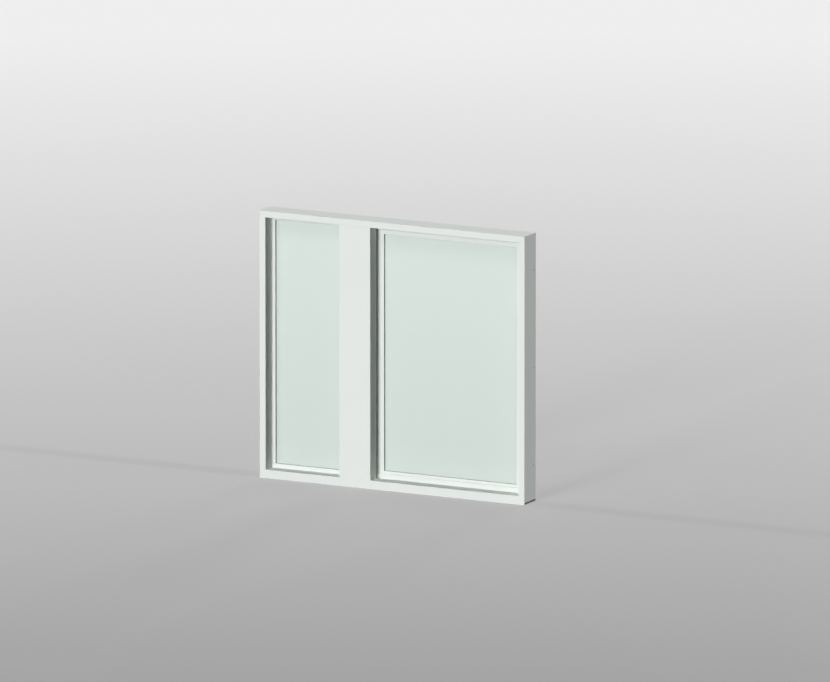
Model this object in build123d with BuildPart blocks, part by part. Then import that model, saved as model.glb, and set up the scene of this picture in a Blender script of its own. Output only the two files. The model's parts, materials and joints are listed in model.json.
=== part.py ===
from build123d import *
import os

# A single sliding window of white powder-coated aluminium, with its frame.
# X runs along the width, Y from the outside face towards the room, and Z up.
# The origin is on the underside of the sill, in the middle of the frame's width and depth.
# Sections are drawn with a depth, counted back from the outside face, and a rise,
# counted inwards from the outer edge of the member.

# Outer frame, in millimetres
frame_width = 1200.0
frame_height = 1100.0
jamb_face = 26.0
drain_height = 9.0
platform_depth = 54.5
lip_height = 17.5
wall = 1.8
thin_wall = 1.4
edge_round = 1.0
divider_wall = 1.5
room_leg_depth = 6.0
room_leg_height = 26.0

# Glazing of the fixed bay
fixed_glass_thickness = 4.0
bead_depth = 6.0
front_gasket_thickness = 1.5
back_gasket_thickness = 1.0
gasket_height = 7.0
rebate_drop = 4.0
setting_block_height = 5.0
setting_block_length = 60.0
setting_block_inset = 80.0
groove_width = 3.0
groove_depth = 4.0
bead_foot_inset = 1.6
infill_thickness = 1.2

# Mullion between the bays
fixed_bay_width = 336.0
mullion_width = 140.0
mullion_webs = 2
mullion_chamber = 12.0
cleat_height = 40.0
cleat_floor = 3.0
cleat_wall = 3.6
cleat_screw_spacing = 25.0
cleat_leg = 70.0
cleat_window = 14.0
end_cap_length = 6.0

# Sash
sash_thickness = 18.0
sash_wall = 1.6
sash_front_gap = 4.5
sash_room_gap = 3.0
sash_overlap = 28.0
sash_jamb_gap = 16.0
sash_head_gap = 13.5
sash_rail_height = 49.5
meeting_stile_width = 54.0
lock_stile_width = 56.0
pocket_depth = 16.0
pocket_lip = 1.6
rail_channel_depth = 24.5
sash_glass_thickness = 4.0
sash_gasket_leg = 3.0
sash_gasket_floor = 2.0

# Track and rollers
track_rise = 11.0
track_engagement = 5.0
rib_width = 1.8
cap_wall = 0.8
guide_engagement = 10.5
guide_slot_gap = 1.2
guide_height = 24.0
wheel_radius = 8.2
wheel_tread_radius = 6.9
wheel_width = 7.0
wheel_inset = 60.0
carriage_length = 64.0
carriage_height = 18.0
axle_radius = 2.0

# Interlock between the mullion and the meeting stile
hook_width = 8.0
hook_setback = 8.0
hook_tip = 1.2
hook_reach = 6.0
tongue_wall = 1.2
tongue_reach = 8.5
interlock_gap = 0.7
tip_gap = 0.6
tongue_end_gap = 2.0

# Brush seals
brush_base_width = 5.0
brush_base_height = 2.0
brush_pile_width = 3.0
brush_lip = 1.0
brush_rise = 20.0

# Latch, keeper and pull handle
latch_height = 560.0
latch_inset = 26.0
hook_plate = 4.0
hook_length = 38.0
hook_arm = 9.0
hook_claw = 5.5
claw_thickness = 3.6
hub_radius = 8.0
spindle_side = 7.0
latch_plate_width = 24.0
latch_plate_height = 116.0
latch_plate_thickness = 3.0
lever_length = 40.0
lever_thickness = 7.0
latch_screw_spacing = 100.0
latch_plate_round = 4.0
lever_tip_radius = 5.0
lever_round = 1.5
lever_bore_depth = 3.5
spindle_bore = 5.3
hook_arm_offset = -1.0
hook_slot_top = 4.5
hook_slot_drop = 32.0
hook_side_gap = 1.0
keeper_gap = 5.0
keeper_thickness = 2.0
keeper_rise = 22.0
keeper_height = 60.0
keeper_flange = 14.0
keeper_slot_drop = 26.0
keeper_width = 16.0
handle_height = 150.0
handle_projection = 30.0
handle_bar = 10.0
handle_width = 16.0
handle_drop = 165.0
handle_bend = 14.0
handle_foot = 4.0
handle_tab = 16.0
handle_round = 2.5

# Fasteners, stops and holes
fixing_radius = 3.0
fixing_spacing = 800.0
screw_radius = 2.0
screw_head_radius = 3.8
screw_head_height = 2.4
screw_head_taper = 25.0
screw_bite = 20.0
rivet_radius = 1.6
rivet_head = 2.6
rivet_head_height = 0.9
rivet_bite = 4.0
rivet_spacing = 44.0
rivet_drop = 5.5
buffer_thickness = 6.0
buffer_width = 14.0
buffer_height = 40.0
buffer_inset = 275.0
lift_gap = 1.5
lift_block_length = 40.0
drain_slot_length = 30.0
drain_slot_width = 5.0
drain_slot_inset = 200.0

# Clearances
fit = 0.1
running = 0.3
axle_fit = 0.03
notch_gap = 1.5
wheel_play = 0.6
wheel_fit = 0.05

# Places in depth
rebate_width = bead_depth + front_gasket_thickness + fixed_glass_thickness + back_gasket_thickness
divider_front = platform_depth + rebate_width
divider_back = divider_front + divider_wall
sash_front = divider_back + sash_front_gap
sash_back = sash_front + sash_thickness
sash_centre = (sash_front + sash_back) / 2
room_leg_front = sash_back + sash_room_gap
frame_depth = room_leg_front + room_leg_depth
outside = -frame_depth / 2
bead_back = platform_depth + bead_depth
glass_front = bead_back + front_gasket_thickness
glass_back = glass_front + fixed_glass_thickness
groove_from = platform_depth + bead_foot_inset
groove_to = groove_from + groove_width

# Rises in the frame's section
rebate_floor = jamb_face - rebate_drop
lip_top = jamb_face + lip_height
glass_rise = rebate_floor + setting_block_height

# Places along the width and the height
left_edge = -frame_width / 2
right_edge = frame_width / 2
mullion_left = left_edge + jamb_face + fixed_bay_width
mullion_right = mullion_left + mullion_width
sill_top = drain_height + jamb_face
head_bottom = frame_height - jamb_face
sash_left = mullion_right - sash_overlap
sash_right = right_edge - sash_jamb_gap
track_top = drain_height + track_rise
sash_bottom = track_top - track_engagement
sash_top = frame_height - sash_head_gap
rail_left = sash_left + meeting_stile_width
rail_right = sash_right - lock_stile_width
rail_length = rail_right - rail_left
pocket_floor = sash_rail_height - pocket_depth
port_rise = (rail_channel_depth + pocket_floor) / 2
head_rib_height = sash_head_gap + guide_engagement
cap_half_width = rib_width / 2 + fit / 2 + cap_wall
latch_x = sash_right - latch_inset
hook_left = mullion_right - hook_setback - hook_width
hook_tip_back = sash_front - tip_gap
tongue_front = divider_back + interlock_gap
keeper_screw_heights = [latch_height + keeper_rise + keeper_flange / 2,
                        latch_height + keeper_rise - keeper_height - keeper_flange / 2]
latch_screw_heights = [latch_height + side * latch_screw_spacing / 2 for side in (-1, 1)]
handle_centre = latch_height - handle_drop
handle_screw_heights = [handle_centre + side * (handle_height + handle_tab) / 2 for side in (-1, 1)]
roller_places = (rail_left + wheel_inset, rail_right - wheel_inset)
rivet_places = [x + side * rivet_spacing / 2 for x in roller_places for side in (-1, 1)]
wheel_height = track_top + wheel_tread_radius + wheel_fit
rivet_height = sash_bottom + rail_channel_depth - rivet_drop
wheel_groove = cap_half_width + fit
rear_bottom = drain_height + lip_top
rear_top = frame_height - lip_top
fixing_heights = [frame_height / 2 + step * fixing_spacing / 2 for step in (-1, 0, 1)]
drain_slots = [left_edge + drain_slot_inset, 0, right_edge - drain_slot_inset]
boss_height = brush_base_width + 2 * fit + 2 * thin_wall
boss_depth = brush_base_height + brush_lip
front_brush_rise = lip_top - boss_height / 2


def at_depth(depth):
    """The Y of a depth counted back from the outside face."""
    return outside + depth


def rect(depth_from, depth_to, rise_from, rise_to, mode=Mode.ADD):
    """A rectangle of a section, between two depths and two rises."""
    with Locations(((depth_from + depth_to) / 2, (rise_from + rise_to) / 2)):
        Rectangle(depth_to - depth_from, rise_to - rise_from, mode=mode)


def save(piece, name):
    """Label a finished piece and write its file."""
    piece.part.label = name
    export_step(piece.part, f"parts/{name}.step")


def sill_plane(x, z):
    """A section plane facing along +X, with the rise going up from z."""
    return Plane(origin=(x, outside, z), x_dir=(0, 1, 0), z_dir=(1, 0, 0))


def head_plane(x, z):
    """A section plane facing along -X, with the rise going down from z."""
    return Plane(origin=(x, outside, z), x_dir=(0, 1, 0), z_dir=(-1, 0, 0))


def left_plane(x, z):
    """A section plane facing down, with the rise going along +X from x."""
    return Plane(origin=(x, outside, z), x_dir=(0, 1, 0), z_dir=(0, 0, -1))


def right_plane(x, z):
    """A section plane facing up, with the rise going along -X from x."""
    return Plane(origin=(x, outside, z), x_dir=(0, 1, 0), z_dir=(0, 0, 1))


def front_plane(x, depth, z):
    """A plane facing the outside, with X to the right and Z up."""
    return Plane(origin=(x, at_depth(depth), z), x_dir=(1, 0, 0), z_dir=(0, -1, 0))


def side_plane(x, z):
    """A plane facing along +X on the sash's centre line, with Y to the right and Z up."""
    return Plane(origin=(x, at_depth(sash_centre), z), x_dir=(0, 1, 0), z_dir=(1, 0, 0))


# Sections

def brush_groove(depth, rise, into):
    """A T groove for a brush seal: lips at this depth, opening away from the direction of into."""
    near = sorted((depth, depth + into * brush_lip))
    far = sorted((depth + into * brush_lip, depth + into * (brush_lip + brush_base_height)))
    half_base = brush_base_width / 2
    half_pile = brush_pile_width / 2
    rect(*near, rise - half_pile - fit, rise + half_pile + fit, Mode.SUBTRACT)
    rect(*far, rise - half_base - fit, rise + half_base + fit, Mode.SUBTRACT)


def rebate_section(chamber_from):
    """The glazing rebate: a chamber, a groove for the bead's foot, and the divider leg."""
    rect(platform_depth - wall, divider_back, chamber_from, rebate_floor)
    rect(platform_depth, divider_front, chamber_from + wall, rebate_floor - wall, Mode.SUBTRACT)
    groove_bottom = rebate_floor - groove_depth
    rect(groove_from - thin_wall, groove_to + thin_wall, groove_bottom - thin_wall, rebate_floor)
    rect(groove_from, groove_to, groove_bottom, rebate_floor, Mode.SUBTRACT)
    rect(divider_front, divider_back, rebate_floor - wall, lip_top)


def frame_section(rib_height):
    """The section that the sill, the head and both jambs share."""
    with Locations((platform_depth / 2, jamb_face / 2)):
        RectangleRounded(platform_depth, jamb_face, edge_round)
    rect(0, platform_depth, 0, wall)
    rect(wall, platform_depth - wall, wall, jamb_face - wall, Mode.SUBTRACT)
    rebate_section(0)
    rect(divider_back - wall, frame_depth, 0, wall)
    rect(divider_front, divider_back + boss_depth, lip_top - boss_height, lip_top)
    brush_groove(divider_back + boss_depth, front_brush_rise, -1)
    rect(room_leg_front, frame_depth, 0, room_leg_height)
    rect(room_leg_front + thin_wall, frame_depth - thin_wall, wall, room_leg_height - thin_wall,
         Mode.SUBTRACT)
    boss_bottom = brush_rise - boss_height / 2
    rect(room_leg_front, room_leg_front + boss_depth + thin_wall, boss_bottom, boss_bottom + boss_height)
    brush_groove(room_leg_front, brush_rise, 1)
    if rib_height:
        rect(sash_centre - rib_width / 2, sash_centre + rib_width / 2, 0, rib_height)


def bead_section():
    """A hollow glazing bead with a foot that snaps into the rebate's groove."""
    base = rebate_floor + fit
    height = lip_top - base
    with Locations(((platform_depth + bead_back) / 2, base + height / 2)):
        RectangleRounded(bead_depth, height, edge_round)
    rect(platform_depth + thin_wall, bead_back - thin_wall, base + thin_wall, lip_top - thin_wall,
         Mode.SUBTRACT)
    snap_foot(base + thin_wall)


def infill_section():
    """A flat strip that closes the rebate where no glass stands in it, with the bead's foot."""
    base = rebate_floor + fit
    rect(platform_depth + fit, divider_front - fit, base, base + infill_thickness)
    snap_foot(base + infill_thickness)


def snap_foot(top):
    """The barbed foot of a bead or a strip, from this rise down into the rebate's groove."""
    groove_centre = (groove_from + groove_to) / 2
    foot_bottom = rebate_floor - groove_depth + running
    barb = groove_width / 2 - fit
    stem = barb - thin_wall / 2
    rect(groove_centre - stem, groove_centre + stem, foot_bottom, top)
    rect(groove_centre - barb, groove_centre + barb, foot_bottom, foot_bottom + thin_wall)


def sash_pocket(edge):
    """The glazing pocket along a sash member's inner edge, with a lip at each side of its mouth."""
    mouth = sash_glass_thickness / 2 + sash_gasket_leg + fit
    rect(sash_front + sash_wall, sash_back - sash_wall, edge - pocket_depth, edge - pocket_lip, Mode.SUBTRACT)
    rect(sash_centre - mouth, sash_centre + mouth, edge - pocket_lip, edge, Mode.SUBTRACT)


def rail_section():
    """A sash rail: the roller channel, a chamber with its screw port, and the glazing pocket."""
    with Locations((sash_centre, sash_rail_height / 2)):
        RectangleRounded(sash_thickness, sash_rail_height, edge_round)
    rect(sash_front + sash_wall, sash_back - sash_wall, 0, rail_channel_depth, Mode.SUBTRACT)
    rect(sash_front + sash_wall, sash_back - sash_wall, rail_channel_depth + sash_wall,
         pocket_floor - sash_wall, Mode.SUBTRACT)
    port_outside = (pocket_floor - rail_channel_depth) / 2
    with Locations((sash_centre, port_rise)):
        Circle(port_outside)
        Circle(screw_radius + fit / 2, mode=Mode.SUBTRACT)
    sash_pocket(sash_rail_height)


def stile_section(width):
    """A sash stile: a hollow box beside the glazing pocket."""
    with Locations((sash_centre, width / 2)):
        RectangleRounded(sash_thickness, width, edge_round)
    rect(sash_front + sash_wall, sash_back - sash_wall, sash_wall, width - pocket_depth - sash_wall,
         Mode.SUBTRACT)
    sash_pocket(width)


def brush_section(depth, rise, into, reach):
    """A brush strip: its base in the groove, and the pile out to the face that it wipes."""
    base = sorted((depth + into * (brush_lip + fit), depth + into * (brush_lip + brush_base_height - fit)))
    pile = sorted((reach, depth + into * (brush_lip + 2 * fit)))
    rect(*base, rise - brush_base_width / 2, rise + brush_base_width / 2)
    rect(*pile, rise - brush_pile_width / 2, rise + brush_pile_width / 2)


# The frame's four members, mitred at 45 degrees above the sill's drain chamber

mitre_bottom_left = Plane(origin=(left_edge, 0, drain_height), x_dir=(0, 1, 0), z_dir=(1, 0, -1))
mitre_bottom_right = Plane(origin=(right_edge, 0, drain_height), x_dir=(0, 1, 0), z_dir=(-1, 0, -1))
mitre_top_left = Plane(origin=(left_edge, 0, frame_height), x_dir=(0, 1, 0), z_dir=(1, 0, 1))
mitre_top_right = Plane(origin=(right_edge, 0, frame_height), x_dir=(0, 1, 0), z_dir=(-1, 0, 1))


def mitred_member(plane, length, rib_height, mitres, side):
    """A frame member, extruded from the shared section and cut at its two mitres."""
    with BuildPart() as member:
        with BuildSketch(plane):
            frame_section(rib_height)
        extrude(amount=length)
        for mitre in mitres:
            split(bisect_by=mitre, keep=side)
    return member.part


def make_sill():
    """The sill: the shared section on a drain chamber, with slots that let the water through."""
    with BuildPart() as frame_sill:
        add(mitred_member(sill_plane(left_edge, drain_height), frame_width, track_rise - cap_wall - fit,
                          (mitre_bottom_left, mitre_bottom_right), Keep.TOP))
        with BuildSketch(sill_plane(left_edge, 0)):
            rect(0, frame_depth, 0, drain_height)
            rect(wall, platform_depth - wall, wall, drain_height, Mode.SUBTRACT)
            rect(platform_depth, frame_depth - wall, wall, drain_height, Mode.SUBTRACT)
        extrude(amount=frame_width)
        with BuildSketch(Plane.XY.offset(drain_height)):
            with Locations(*[(x, at_depth(divider_back + sash_front_gap)) for x in drain_slots]):
                SlotOverall(drain_slot_length, drain_slot_width)
        extrude(amount=wall, mode=Mode.SUBTRACT)
        with BuildSketch(Plane.XY):
            with Locations(*[(x, at_depth(platform_depth - wall - drain_slot_width)) for x in drain_slots]):
                SlotOverall(drain_slot_length, drain_slot_width)
        extrude(amount=wall, mode=Mode.SUBTRACT)
    save(frame_sill, "frame_sill")


def make_head():
    """The head, with the rib that guides the sash's top."""
    with BuildPart() as frame_head:
        add(mitred_member(head_plane(right_edge, frame_height), frame_width, head_rib_height,
                          (mitre_top_left, mitre_top_right), Keep.TOP))
    save(frame_head, "frame_head")


def make_jamb(name, plane, mitres, web_x, screw_heights):
    """A jamb, with its fixing holes and the holes for what is screwed to its web."""
    with BuildPart() as frame_jamb:
        add(mitred_member(plane, frame_height, 0, mitres, Keep.BOTTOM))
        with BuildSketch(side_plane(web_x, 0)):
            with Locations(*[(0, z) for z in fixing_heights]):
                Circle(fixing_radius)
            for z in screw_heights:
                with Locations((0, z)):
                    Circle(screw_radius + fit)
        extrude(amount=wall + fit, both=True, mode=Mode.SUBTRACT)
    save(frame_jamb, name)


def make_mullion():
    """The wide front mullion, with the fixed bay's rebate and the interlock hook behind it."""
    with BuildPart() as front_mullion:
        with BuildSketch(left_plane(mullion_left, head_bottom)):
            with Locations((platform_depth / 2, mullion_width / 2)):
                RectangleRounded(platform_depth, mullion_width, edge_round)
            chamber = (mullion_width - wall * (mullion_webs + 2)) / (mullion_webs + 1)
            for index in range(mullion_webs + 1):
                rise = wall + index * (chamber + wall)
                rect(wall, platform_depth - wall, rise, rise + chamber, Mode.SUBTRACT)
        extrude(amount=head_bottom - sill_top)
        with BuildSketch(right_plane(mullion_left + jamb_face, rear_bottom)):
            rebate_section(rebate_floor - mullion_chamber)
        extrude(amount=rear_top - rear_bottom)
        with BuildSketch(left_plane(hook_left, rear_top)):
            rect(platform_depth - wall, divider_back, 0, hook_width)
            rect(platform_depth, divider_back - boss_depth - thin_wall, thin_wall, hook_width - thin_wall,
                 Mode.SUBTRACT)
            brush_groove(divider_back, hook_width / 2, -1)
            rect(divider_back - thin_wall, hook_tip_back, 0, hook_tip)
            rect(hook_tip_back - hook_tip, hook_tip_back, -hook_reach, hook_tip)
        extrude(amount=rear_top - rear_bottom)
    save(front_mullion, "front_mullion")


def make_mullion_cleats():
    """A block in each end of the mullion, screwed to the sill and the head."""
    cleat_x = (mullion_left + mullion_right) / 2
    chamber = (mullion_width - wall * (mullion_webs + 2)) / (mullion_webs + 1)
    width = chamber - 2 * fit
    depth = platform_depth - 2 * wall - 2 * fit
    ends = [Plane(origin=(cleat_x, at_depth(platform_depth / 2), sill_top), z_dir=(0, 0, 1)),
            Plane(origin=(cleat_x, at_depth(platform_depth / 2), head_bottom), z_dir=(0, 0, -1))]
    with BuildPart() as mullion_cleats:
        for end in ends:
            with BuildSketch(end):
                Rectangle(width, depth)
                Rectangle(width - 2 * cleat_wall, depth - 2 * cleat_wall, mode=Mode.SUBTRACT)
            extrude(amount=cleat_height)
            with BuildSketch(end):
                Rectangle(width - 2 * cleat_wall, depth - 2 * cleat_wall)
                with GridLocations(0, cleat_screw_spacing, 1, 2):
                    Circle(screw_radius + fit, mode=Mode.SUBTRACT)
            extrude(amount=cleat_floor)
    save(mullion_cleats, "mullion_cleats")
    with BuildPart() as mullion_screws:
        for end in ends:
            with BuildSketch(end.offset(cleat_floor)):
                with GridLocations(0, cleat_screw_spacing, 1, 2):
                    Circle(screw_head_radius)
            extrude(amount=screw_head_height)
            with BuildSketch(end.offset(cleat_floor)):
                with GridLocations(0, cleat_screw_spacing, 1, 2):
                    Circle(screw_radius)
            extrude(amount=-cleat_floor)
    save(mullion_screws, "mullion_screws")


def make_corner_cleats():
    """An L-shaped key in the front chamber of each mitred corner."""
    low = drain_height + wall + fit
    high = frame_height - wall - fit
    near = left_edge + wall + fit
    far = right_edge - wall - fit
    depth = platform_depth - 2 * wall - 2 * fit
    width = jamb_face - 2 * wall - 2 * fit
    with BuildPart() as corner_cleats:
        for origin, x_dir in (((near, low), (1, 0, 0)), ((far, low), (0, 0, 1)),
                              ((far, high), (-1, 0, 0)), ((near, high), (0, 0, -1))):
            corner = Plane(origin=(origin[0], at_depth(wall + fit), origin[1]), x_dir=x_dir, z_dir=(0, -1, 0))
            with BuildSketch(corner):
                with Locations((cleat_leg / 2, width / 2)):
                    Rectangle(cleat_leg, width)
                with Locations((width / 2, cleat_leg / 2)):
                    Rectangle(width, cleat_leg)
                with Locations((width + cleat_window / 2, width / 2), (width / 2, width + cleat_window / 2)):
                    Rectangle(cleat_window, cleat_window, mode=Mode.SUBTRACT)
            extrude(amount=-depth)
    save(corner_cleats, "corner_cleats")


def make_fixed_glazing():
    """The fixed glass, its setting blocks, gaskets and beads."""
    glass_left = left_edge + glass_rise
    glass_right = mullion_left + jamb_face - glass_rise
    glass_bottom = drain_height + glass_rise
    glass_top = frame_height - glass_rise
    bay_left = left_edge + lip_top
    bay_right = mullion_left + jamb_face - lip_top
    bay_bottom = drain_height + lip_top
    bay_top = frame_height - lip_top
    middle_x = (bay_left + bay_right) / 2
    middle_z = (bay_bottom + bay_top) / 2
    with BuildPart() as fixed_glass:
        with BuildSketch(front_plane(middle_x, glass_front, middle_z)):
            Rectangle(glass_right - glass_left, glass_top - glass_bottom)
        extrude(amount=-fixed_glass_thickness)
    save(fixed_glass, "fixed_glass")
    for name, face_depth, thickness in (("fixed_gasket_front", bead_back, front_gasket_thickness),
                                        ("fixed_gasket_back", glass_back, back_gasket_thickness)):
        with BuildPart() as gasket:
            with BuildSketch(front_plane(middle_x, face_depth, middle_z)):
                Rectangle(bay_right - bay_left + 2 * gasket_height,
                          bay_top - bay_bottom + 2 * gasket_height)
                Rectangle(bay_right - bay_left, bay_top - bay_bottom, mode=Mode.SUBTRACT)
            extrude(amount=-thickness)
        save(gasket, name)
    with BuildPart() as setting_blocks:
        block_y = at_depth(glass_front + fixed_glass_thickness / 2)
        with BuildSketch(Plane.XY.offset(drain_height + rebate_floor)):
            with Locations((glass_left + setting_block_inset, block_y),
                           (glass_right - setting_block_inset, block_y)):
                Rectangle(setting_block_length, fixed_glass_thickness)
        extrude(amount=setting_block_height)
    save(setting_blocks, "setting_blocks")
    bead_start = left_edge + rebate_floor + running
    bead_length = mullion_left + jamb_face - rebate_floor - running - bead_start
    side_start = bay_bottom + fit
    side_length = bay_top - fit - side_start
    for name, plane, length in (
        ("bead_bottom", sill_plane(bead_start, drain_height), bead_length),
        ("bead_top", head_plane(bead_start + bead_length, frame_height), bead_length),
        ("bead_left", left_plane(left_edge, side_start + side_length), side_length),
        ("bead_right", right_plane(mullion_left + jamb_face, side_start), side_length),
    ):
        with BuildPart() as bead:
            with BuildSketch(plane):
                bead_section()
            extrude(amount=length)
        save(bead, name)


def make_infill():
    """The strips that close the sliding bay's rebate: sill and head, and the jamb between them."""
    strip_start = mullion_right + fit
    strip_length = right_edge - rebate_floor - running - strip_start
    jamb_start = drain_height + rebate_floor + infill_thickness + 2 * fit
    jamb_length = frame_height - rebate_floor - infill_thickness - 2 * fit - jamb_start
    with BuildPart() as rebate_infill:
        for plane, length in ((sill_plane(strip_start, drain_height), strip_length),
                              (head_plane(strip_start + strip_length, frame_height), strip_length),
                              (right_plane(right_edge, jamb_start), jamb_length)):
            with BuildSketch(plane):
                infill_section()
            extrude(amount=length)
    save(rebate_infill, "rebate_infill")


def make_track():
    """The steel cap on the sill's rib, the channel cover on the left jamb, and the end caps."""
    with BuildPart() as track_cap:
        with BuildSketch(sill_plane(left_edge + drain_height + wall, drain_height)):
            rect(sash_centre - cap_half_width, sash_centre + cap_half_width,
                 wall + fit, track_rise - cap_half_width)
            with Locations((sash_centre, track_rise - cap_half_width)):
                Circle(cap_half_width)
            slot = rib_width / 2 + fit / 2
            rect(sash_centre - slot, sash_centre + slot, wall, track_rise - cap_wall, Mode.SUBTRACT)
        extrude(amount=frame_width - 2 * (drain_height + wall))
    save(track_cap, "track_cap")
    cover_start = divider_back + boss_depth + fit
    cover_end = room_leg_front - fit
    with BuildPart() as channel_cover:
        with BuildSketch(left_plane(left_edge, head_bottom - lip_height - fit)):
            rect(cover_start, frame_depth - thin_wall, room_leg_height + fit, lip_top)
            rect(cover_start + thin_wall, frame_depth - 2 * thin_wall,
                 room_leg_height + fit, lip_top - thin_wall, Mode.SUBTRACT)
            rect(cover_start, cover_start + thin_wall, wall + fit, lip_top)
            rect(cover_end - thin_wall, cover_end, wall + fit, lip_top)
        extrude(amount=head_bottom - sill_top - 2 * lip_height - 2 * fit)
    save(channel_cover, "channel_cover")
    with BuildPart() as sill_end_caps:
        for x, direction in ((left_edge, 1), (right_edge, -1)):
            for near, far in ((wall, platform_depth - wall), (platform_depth, frame_depth - wall)):
                cap_plane = sill_plane(x, 0)
                with BuildSketch(cap_plane):
                    rect(near + fit, far - fit, wall + fit, drain_height - fit)
                extrude(amount=direction * end_cap_length)
    save(sill_end_caps, "sill_end_caps")


def make_brushes():
    """The brush strips that wipe the sash on both sides, and the one behind the mullion."""
    front_lips = divider_back + boss_depth
    across = frame_width - 2 * (lip_top + fit)
    for name, plane, length in (
        ("brush_sill", sill_plane(left_edge + lip_top + fit, drain_height), across),
        ("brush_head", head_plane(right_edge - lip_top - fit, frame_height), across),
        ("brush_jamb", right_plane(right_edge, rear_bottom + fit), rear_top - rear_bottom - 2 * fit),
    ):
        with BuildPart() as brush:
            with BuildSketch(plane):
                brush_section(front_lips, front_brush_rise, -1, sash_front - running)
                brush_section(room_leg_front, brush_rise, 1, sash_back + running)
            extrude(amount=length)
        save(brush, name)
    with BuildPart() as brush_mullion:
        with BuildSketch(left_plane(hook_left, rear_top)):
            brush_section(divider_back, hook_width / 2, -1, sash_front - running)
        extrude(amount=rear_top - rear_bottom)
    save(brush_mullion, "brush_mullion")


def make_stops():
    """Rubber buffers at both ends of the sash's travel, and blocks that keep it from being lifted out."""
    buffer_heights = (buffer_inset, frame_height - buffer_inset)
    for name, x, thickness in (
        ("opening_buffers", left_edge + lip_top, buffer_thickness),
        ("closing_buffers", sash_right + running, right_edge - wall - sash_right - running),
    ):
        with BuildPart() as buffers:
            with BuildSketch(side_plane(x, 0)):
                with Locations(*[(0, z) for z in buffer_heights]):
                    RectangleRounded(buffer_width, buffer_height, edge_round)
            extrude(amount=thickness)
        save(buffers, name)
    with BuildPart() as lift_blocks:
        for side in (-1, 1):
            near = side * (rib_width / 2 + fit)
            far = side * sash_thickness / 2
            depths = sorted((sash_centre + near, sash_centre + far))
            with BuildSketch(*[head_plane(x + lift_block_length / 2, frame_height) for x in roller_places]):
                rect(*depths, wall, sash_head_gap - lift_gap)
            extrude(amount=lift_block_length)
    save(lift_blocks, "lift_blocks")


def make_keeper():
    """The keeper bracket on the right jamb, with the slot that the hook enters, and its screws."""
    face = sash_right + keeper_gap
    seat = right_edge - wall
    top = latch_height + keeper_rise
    bottom = top - keeper_height
    middle = (top + bottom) / 2
    with BuildPart() as keeper:
        with BuildSketch(front_plane(0, sash_centre - keeper_width / 2, 0)):
            with Locations(((face + seat) / 2, middle)):
                Rectangle(seat - face, keeper_height)
            with Locations(((face + seat + keeper_thickness) / 2, middle)):
                Rectangle(seat - face - keeper_thickness, keeper_height - 2 * keeper_thickness,
                          mode=Mode.SUBTRACT)
            with Locations((seat - keeper_thickness / 2, top + keeper_flange / 2),
                           (seat - keeper_thickness / 2, bottom - keeper_flange / 2)):
                Rectangle(keeper_thickness, keeper_flange)
        extrude(amount=-keeper_width)
        with BuildSketch(side_plane(face, latch_height)):
            with Locations((0, (hook_slot_top - keeper_slot_drop) / 2)):
                Rectangle(hook_plate + 2 * hook_side_gap, hook_slot_top + keeper_slot_drop)
        extrude(amount=keeper_thickness, mode=Mode.SUBTRACT)
        with BuildSketch(side_plane(seat, 0)):
            with Locations(*[(0, z) for z in keeper_screw_heights]):
                Circle(screw_radius + fit)
        extrude(amount=-keeper_thickness, mode=Mode.SUBTRACT)
    save(keeper, "keeper")
    with BuildPart() as keeper_screws:
        for z in keeper_screw_heights:
            screw(Plane(origin=(seat - keeper_thickness, at_depth(sash_centre), z), z_dir=(-1, 0, 0)),
                  keeper_thickness + wall)
    save(keeper_screws, "keeper_screws")


def screw(plane, length):
    """A pan-head screw whose head stands on the plane, with its shank going the other way."""
    with BuildSketch(plane) as head:
        Circle(screw_head_radius)
    extrude(head.sketch, amount=screw_head_height, taper=screw_head_taper)
    with BuildSketch(plane) as shank:
        Circle(screw_radius)
    extrude(shank.sketch, amount=-length)


def notch_for_track(x, width):
    """The notches at a stile's two ends, which straddle the track cap and the head's rib."""
    for low, high, half in ((sash_bottom, track_top + notch_gap, cap_half_width + notch_gap),
                            (sash_top - guide_engagement - notch_gap, sash_top, rib_width / 2 + notch_gap)):
        with BuildSketch(Plane.XY.offset(low)) as notch:
            with Locations((x + width / 2, at_depth(sash_centre))):
                Rectangle(width, 2 * half)
        extrude(notch.sketch, amount=high - low, mode=Mode.SUBTRACT)


def screw_holes(x, radius, direction):
    """Clearance holes for the corner screws through one wall of a stile."""
    with BuildSketch(side_plane(x, 0)) as holes:
        with Locations((0, sash_bottom + port_rise), (0, sash_top - port_rise)):
            Circle(radius)
    extrude(holes.sketch, amount=direction * sash_wall, mode=Mode.SUBTRACT)


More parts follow.
